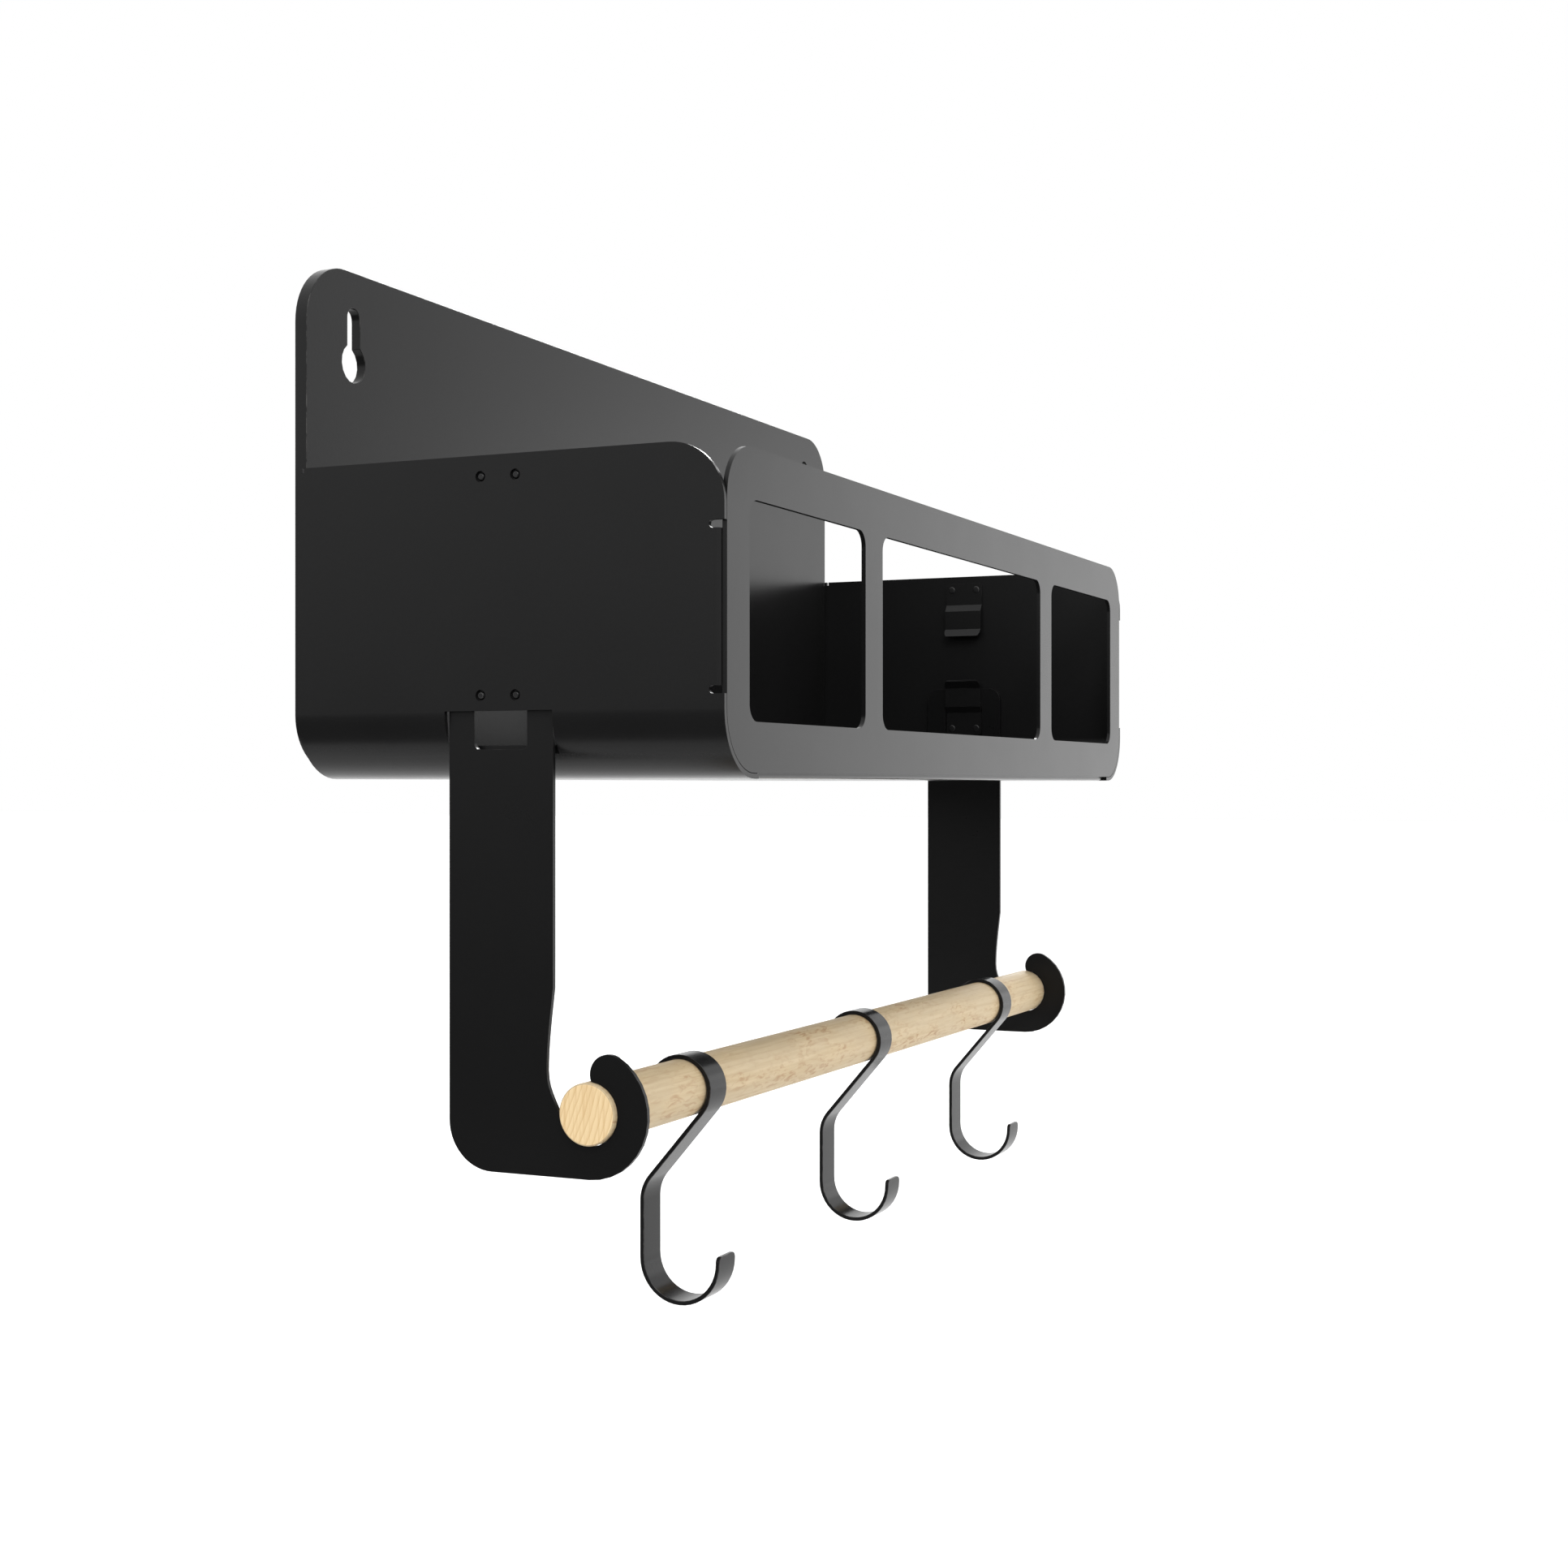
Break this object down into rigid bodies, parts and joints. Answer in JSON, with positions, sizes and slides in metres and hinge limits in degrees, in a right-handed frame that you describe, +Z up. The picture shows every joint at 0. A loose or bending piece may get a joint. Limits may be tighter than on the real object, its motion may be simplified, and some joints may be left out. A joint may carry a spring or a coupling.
{
  "type": "wall coat rack shelf",
  "caption": "Wall-hung folded-steel shelf tray with a windowed front, drop arms carrying a round wood rail, and flat S-hooks on the rail.",
  "frame": {"origin": "on the back plate's wall face, midway between the keyholes and level with the ends of their slots", "axes": "+X to the right seen from the front, +Y into the wall, +Z up; the front faces -Y"},
  "size_m": [0.562, 0.203, 0.4445],
  "materials": {
    "tray_coat": "fine-textured satin dark grey powder coat",
    "arm_coat": "satin near-black powder coat",
    "hook_coat": "satin dark grey powder coat",
    "rivet_steel": "coated steel rivet",
    "rail_wood": "pale oiled wood dowel, fine grain along its length"
  },
  "bodies": {
    "tray": {"back_plate": "tray_coat", "tray_wrap": "tray_coat", "front_frame": "tray_coat", "clip_left_upper": "tray_coat", "clip_left_lower": "tray_coat", "rivet_left_upper_rear": "rivet_steel", "rivet_left_upper_front": "rivet_steel", "rivet_left_lower_rear": "rivet_steel", "rivet_left_lower_front": "rivet_steel", "clip_right_upper": "tray_coat", "clip_right_lower": "tray_coat", "rivet_right_upper_rear": "rivet_steel", "rivet_right_upper_front": "rivet_steel", "rivet_right_lower_rear": "rivet_steel", "rivet_right_lower_front": "rivet_steel"},
    "arm_left": {"arm_left": "arm_coat"},
    "arm_right": {"arm_right": "arm_coat"},
    "rail": {"rail": "rail_wood"},
    "hook_left": {"hook_left": "hook_coat"},
    "hook_middle": {"hook_middle": "hook_coat"},
    "hook_right": {"hook_right": "hook_coat"}
  },
  "joints": [
    {"name": "arm_left_lift", "type": "slide", "parent": "tray", "child": "arm_left", "axis": [0, 0, 1], "range_m": [0, 0.0165]},
    {"name": "arm_right_lift", "type": "slide", "parent": "tray", "child": "arm_right", "axis": [0, 0, 1], "range_m": [0, 0.0165]},
    {"name": "rail_turn", "type": "hinge", "parent": "arm_left", "child": "rail", "pos_m": [0, -0.1427, -0.332], "axis": [1, 0, 0], "continuous": true},
    {"name": "hook_left_swing", "type": "hinge", "parent": "arm_left", "child": "hook_left", "pos_m": [0, -0.1427, -0.332], "axis": [1, 0, 0], "range_deg": [-60, 60]},
    {"name": "hook_middle_swing", "type": "hinge", "parent": "arm_left", "child": "hook_middle", "pos_m": [0, -0.1427, -0.332], "axis": [1, 0, 0], "range_deg": [-60, 60]},
    {"name": "hook_right_swing", "type": "hinge", "parent": "arm_left", "child": "hook_right", "pos_m": [0, -0.1427, -0.332], "axis": [1, 0, 0], "range_deg": [-60, 60]}
  ],
  "couplings": [
    {"joint": "arm_right_lift", "follows": "arm_left_lift", "ratio": 1}
  ]
}
